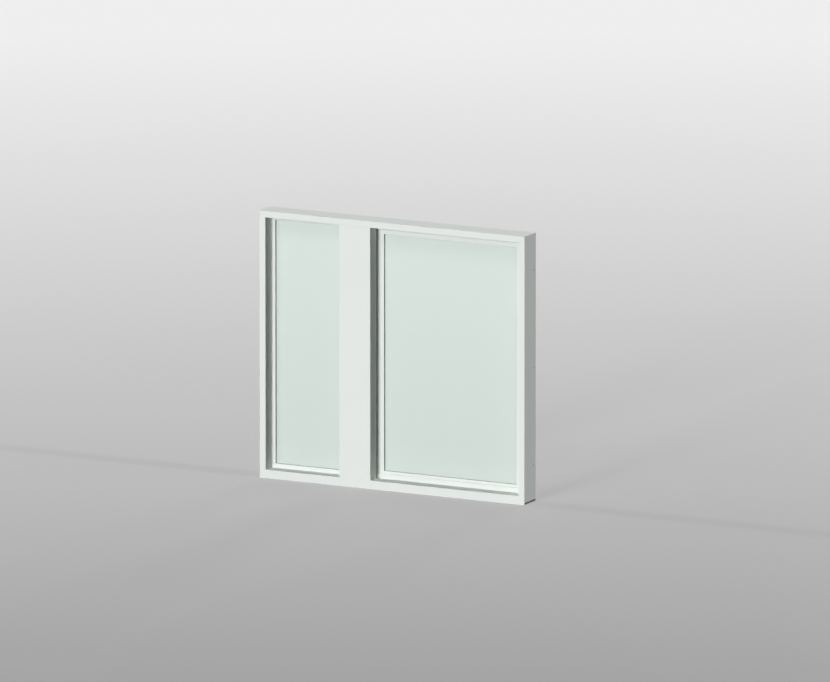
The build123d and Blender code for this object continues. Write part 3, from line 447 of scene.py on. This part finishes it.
def screw_blank(head_radius, length):
    """A domed screw head that stands on nought, with its shank below and a bevelled tip."""
    rim = SCREW_HEAD_RIM * SCREW_HEAD_HEIGHT
    dome = []
    for step in range(HEAD_STEPS):
        slope = step / HEAD_STEPS * pi / 2
        radius = head_radius * cos(slope) ** SCREW_DOME_POWER
        dome.append((radius, rim + (SCREW_HEAD_HEIGHT - rim) * sin(slope)))
    profile = [
        (0.0, -length),
        (SCREW_TIP * SCREW_SHANK_RADIUS, -length),
        (SCREW_SHANK_RADIUS, -length + SCREW_SHANK_RADIUS),
        (SCREW_SHANK_RADIUS, 0.0),
        (head_radius, 0.0),
        *dome,
        (0.0, SCREW_HEAD_HEIGHT),
    ]
    return as_object(lathe(profile), "screw_blank")


def cross_cutter():
    """A tapered plus-shaped punch, which leaves the head's cross recess."""
    mesh = bmesh.new()
    side, tip = CROSS_HALF_WIDTH, CROSS_REACH
    outline = [
        (side, side), (side, tip), (-side, tip), (-side, side),
        (-tip, side), (-tip, -side), (-side, -side), (-side, -tip),
        (side, -tip), (side, -side), (tip, -side), (tip, side),
    ]
    top = [mesh.verts.new((x, y, CROSS_RISE * SCREW_HEAD_HEIGHT)) for x, y in outline]
    floor_z = SCREW_HEAD_HEIGHT - CROSS_DEPTH
    bottom = [mesh.verts.new((CROSS_TAPER * x, CROSS_TAPER * y, floor_z)) for x, y in outline]
    mesh.faces.new(top)
    mesh.faces.new(bottom)
    for index in range(len(outline)):
        after = (index + 1) % len(outline)
        mesh.faces.new((top[index], top[after], bottom[after], bottom[index]))
    bmesh.ops.recalc_face_normals(mesh, faces=mesh.faces)
    return as_object(mesh, "cross_cutter")


def cut_screw(head_radius, length):
    """The mesh of one screw with its cross recess, along Z."""
    blank = screw_blank(head_radius, length)
    cutter = cross_cutter()
    cut = blank.modifiers.new("cross", "BOOLEAN")
    cut.operation = "DIFFERENCE"
    cut.solver = "EXACT"
    cut.object = cutter
    done = blank.evaluated_get(bpy.context.evaluated_depsgraph_get())
    data = bpy.data.meshes.new_from_object(done)
    for spare in (blank, cutter):
        bpy.data.objects.remove(spare, do_unlink=True)
    return data


def solids_of(node):
    """The corner points of each separate solid of a CAD node, in the order of the places they take up."""
    mesh = bmesh.new()
    mesh.from_mesh(frame["nodes"][node].data)
    bmesh.ops.remove_doubles(mesh, verts=mesh.verts, dist=SAME_PLACE)
    unseen = set(mesh.verts)
    solids = []
    while unseen:
        reached = [unseen.pop()]
        for vertex in reached:
            for edge in vertex.link_edges:
                other = edge.other_vert(vertex)
                if other in unseen:
                    unseen.discard(other)
                    reached.append(other)
        solids.append([vertex.co.copy() for vertex in reached])
    mesh.free()
    return sorted(solids, key=lambda points: [span(points, axis) for axis in range(3)])


def span(points, axis):
    """The lowest and the highest place of some points along one axis."""
    places = [point[axis] for point in points]
    return min(places), max(places)


def size(points, axis):
    """How much room some points take up along one axis."""
    low, high = span(points, axis)
    return high - low


def add_block(vertices, faces, near, far):
    """A closed block between two rectangles of four corners each."""
    first = len(vertices)
    vertices.extend(near + far)
    faces.append(tuple(first + corner for corner in (3, 2, 1, 0)))
    faces.append(tuple(first + corner for corner in (4, 5, 6, 7)))
    for corner in range(4):
        after = (corner + 1) % 4
        faces.append((first + corner, first + after, first + 4 + after, first + 4 + corner))


def rectangle(run_axis, run, depth, rise):
    """Four corners at one depth, between two places along the strip and two across it."""
    rise_axis = 2 - run_axis
    corners = []
    for run_end, rise_end in ((0, 0), (1, 0), (1, 1), (0, 1)):
        corner = Vector((0.0, depth, 0.0))
        corner[run_axis] = run[run_end]
        corner[rise_axis] = rise[rise_end]
        corners.append(corner)
    return corners


def read_strip(points, run_axis):
    """The depth and the rise of a plain strip's back and of its tip, and the depth where its pile starts."""
    ends = []
    for depth in span(points, 1):
        there = [point for point in points if abs(point.y - depth) < SAME_PLACE]
        ends.append((depth, span(there, 2 - run_axis)))
    tip, back = sorted(ends, key=lambda end: end[1][1] - end[1][0])
    other_depths = [point.y for point in points if abs(point.y - tip[0]) > SAME_PLACE]
    step = min(other_depths, key=lambda depth: abs(depth - tip[0]))
    return back, tip, step


def add_strip(vertices, faces, points, dice):
    """One strip: its base, and tufts from there to the tip that lean and end a little unevenly."""
    run_axis = 0 if size(points, 0) > size(points, 2) else 2
    start, end = span(points, run_axis)
    (back, base), (tip, pile), step = read_strip(points, run_axis)
    rear = rectangle(run_axis, (start, end), back, base)
    front = rectangle(run_axis, (start, end), step, base)
    add_block(vertices, faces, rear, front)
    count = int((end - start) / TUFT_PITCH)
    pitch = (end - start) / count
    half = TUFT_TIP * TUFT_FILL * pitch / 2
    for index in range(count):
        place = start + index * pitch
        foot = (place, place + TUFT_FILL * pitch)
        middle = (foot[0] + foot[1]) / 2
        lean = dice.uniform(-TUFT_LEAN, TUFT_LEAN)
        top = (max(start, middle - half + lean), min(end, middle + half + lean))
        shorter = dice.uniform(0.0, TUFT_SHORT)
        reach = tip + shorter if back > tip else tip - shorter
        near = rectangle(run_axis, foot, step, pile)
        far = rectangle(run_axis, top, reach, pile)
        add_block(vertices, faces, near, far)


def add_brush(node, material):
    """Brush strips in place of a node's plain ones, with tufts out to where the plain pile ends."""
    dice = Random(TUFT_SEED)
    vertices, faces = [], []
    for points in solids_of(node):
        add_strip(vertices, faces, points, dice)
    data = bpy.data.meshes.new(f"{node}_tufted")
    data.from_pydata(vertices, [], faces)
    mesh = bmesh.new()
    mesh.from_mesh(data)
    bmesh.ops.recalc_face_normals(mesh, faces=mesh.faces)
    bpy.data.meshes.remove(data)
    piece = as_object(mesh, f"{node}_tufted")
    piece.data.materials.append(material)
    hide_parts(node)
    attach(piece, "frame")


def add_screws(node, body, outwards, turns, material):
    """Cross-head screws in place of a node's plain pair, at the two ends of its height."""
    low, high = (Vector(corner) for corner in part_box(node))
    along = 0 if abs(outwards.x) > 0.5 else 1
    across = 1 - along
    head_radius = (high[across] - low[across]) / 2
    length = high[along] - low[along] - SCREW_HEAD_HEIGHT
    seat = low[along] + length if outwards[along] > 0 else high[along] - length
    one = cut_screw(head_radius, length)
    mesh = bmesh.new()
    for height, turn in zip((low.z + head_radius, high.z - head_radius), turns):
        place = Vector((0.0, 0.0, height))
        place[along] = seat
        place[across] = (low[across] + high[across]) / 2
        turned = outwards.to_track_quat("Z", "Y").to_matrix().to_4x4() @ Matrix.Rotation(turn, 4, "Z")
        count = len(mesh.verts)
        mesh.from_mesh(one)
        mesh.verts.ensure_lookup_table()
        bmesh.ops.transform(mesh, matrix=Matrix.Translation(place) @ turned, verts=mesh.verts[count:])
    piece = as_object(mesh, f"{node}_crossed")
    for face in piece.data.polygons:
        face.use_smooth = True
    piece.data.set_sharp_from_angle(angle=SMOOTH_ANGLE)
    piece.data.materials.append(material)
    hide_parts(node)
    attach(piece, body)


def floor_glow(tree):
    """A pale grey that grows lighter with the distance from a point in front of the window."""
    place = tree.nodes.new("ShaderNodeTexCoord")
    away = tree.nodes.new("ShaderNodeVectorMath")
    away.operation = "DISTANCE"
    away.inputs[1].default_value = (
        PICTURE_CENTRE.x + sin(VIEW_AZIMUTH) * GLOW_DISTANCE,
        PICTURE_CENTRE.y - cos(VIEW_AZIMUTH) * GLOW_DISTANCE,
        0.0,
    )
    tree.links.new(place.outputs["Object"], away.inputs[0])
    near, middle, far = (distance for distance, _ in FLOOR_GLOW)
    spread = tree.nodes.new("ShaderNodeMapRange")
    spread.inputs["From Min"].default_value = near
    spread.inputs["From Max"].default_value = far
    tree.links.new(away.outputs["Value"], spread.inputs["Value"])
    ramp = tree.nodes.new("ShaderNodeValToRGB")
    stops = ramp.color_ramp.elements
    stops.new((middle - near) / (far - near))
    for stop, (_, grey) in zip(stops, FLOOR_GLOW):
        stop.color = opaque((grey,) * 3)
    tree.links.new(spread.outputs["Result"], ramp.inputs["Fac"])
    return ramp.outputs["Color"]


def add_floor():
    """A pale floor: a dim paint that keeps the window's shadow, and a glow that only the camera sees."""
    mesh = bpy.data.meshes.new("floor")
    half = FLOOR_SIZE / 2
    ground = cad_bounds[0][2]
    corners = [(-half, -half, ground), (half, -half, ground), (half, half, ground), (-half, half, ground)]
    mesh.from_pydata(corners, [], [(0, 1, 2, 3)])
    floor = bpy.data.objects.new("floor", mesh)
    bpy.context.scene.collection.objects.link(floor)
    material = bpy.data.materials.new("pale_floor")
    material.use_nodes = True
    tree = material.node_tree
    paint = tree.nodes["Principled BSDF"]
    paint.inputs["Base Color"].default_value = opaque((FLOOR_PAINT,) * 3)
    paint.inputs["Roughness"].default_value = 1.0
    paint.inputs["Specular IOR Level"].default_value = 0.0
    glow = tree.nodes.new("ShaderNodeEmission")
    tree.links.new(floor_glow(tree), glow.inputs["Color"])
    tree.links.new(seen_by_camera(tree), glow.inputs["Strength"])
    both = tree.nodes.new("ShaderNodeAddShader")
    tree.links.new(paint.outputs["BSDF"], both.inputs[0])
    tree.links.new(glow.outputs["Emission"], both.inputs[1])
    tree.links.new(both.outputs["Shader"], tree.nodes["Material Output"].inputs["Surface"])
    mesh.materials.append(material)


add_camera()
set_world()
for lamp in LAMPS:
    add_sun(*lamp)
add_floor()
finishes = dress_nodes()
for pair in SCREW_PAIRS:
    add_screws(*pair, finishes["steel"])
for brush in BRUSH_NODES:
    add_brush(brush, finishes["grey_pile"])

bpy.context.scene.view_settings.view_transform = "Standard"
